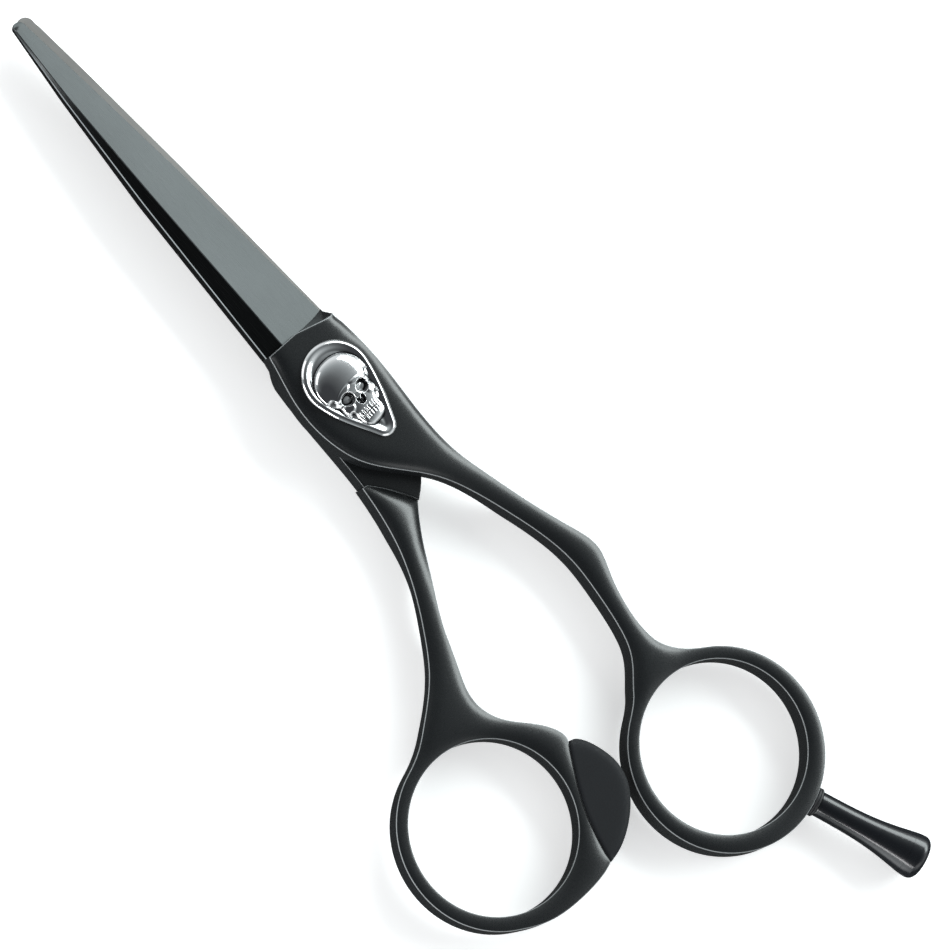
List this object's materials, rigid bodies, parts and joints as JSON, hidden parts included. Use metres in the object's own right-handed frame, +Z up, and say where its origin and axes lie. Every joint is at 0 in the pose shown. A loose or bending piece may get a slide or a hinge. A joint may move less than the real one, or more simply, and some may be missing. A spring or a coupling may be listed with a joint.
{
  "type": "hair cutting shears",
  "caption": "Offset hair cutting shears, closed: straight blades on a screw pivot under a domed cap, round finger rings, soft stop and screw-in finger rest.",
  "frame": {"origin": "on the pivot axis, in the plane of the back faces, where the tension screw's slot crosses the axis", "axes": "+X to the blade tips, +Y to the thumb ring's side, +Z up to the decorated face"},
  "size_m": [0.1555, 0.0563, 0.0083],
  "materials": {
    "handle_coating": "satin black coating on steel, brighter on worn edges",
    "blade_coating": "polished black titanium coating, finely ground lengthwise",
    "chrome": "polished relief with dark oxidised recesses",
    "steel": "turned stainless steel",
    "bronze": "machined bearing bronze",
    "nylon": "natural low-friction plastic",
    "black_nylon": "matt black plastic",
    "bumper_rubber": "matt moulded elastomer",
    "rest_coating": "satin black coating"
  },
  "bodies": {
    "finger_half": {"finger_handle": "handle_coating", "finger_blade": "blade_coating", "pivot_nut": "steel", "skull_cap": "chrome"},
    "thumb_half": {"thumb_handle": "handle_coating", "thumb_blade": "blade_coating", "bumper": "bumper_rubber", "bumper_pins": "steel", "pivot_bushing": "bronze", "ride_washer": "nylon"},
    "pivot_screw": {"tension_screw": "steel", "click_plate": "steel", "spring_washer": "steel"},
    "rest_base": {"rest_washer": "black_nylon"},
    "rest": {"finger_rest": "rest_coating", "rest_stud": "steel"}
  },
  "joints": [
    {"name": "blade_pivot", "type": "hinge", "parent": "finger_half", "child": "thumb_half", "pos_m": [0, 0, 0.003], "axis": [0, 0, -1], "range_deg": [0, 120]},
    {"name": "tension_turn", "type": "hinge", "parent": "finger_half", "child": "pivot_screw", "pos_m": [0, 0, 0], "axis": [0, 0, 1], "range_deg": [-90, 30]},
    {"name": "rest_turn", "type": "hinge", "parent": "finger_half", "child": "rest_base", "pos_m": [-0.0785, -0.01277, 0.00245], "axis": [-0.9349, -0.3533, 0.0349], "range_deg": [0, 1440]},
    {"name": "rest_travel", "type": "slide", "parent": "rest_base", "child": "rest", "axis": [-0.9349, -0.3533, 0.0349], "range_m": [0, 0.0018]}
  ],
  "couplings": [
    {"joint": "rest_turn", "follows": "rest_travel", "rad_per_m": 13962}
  ]
}
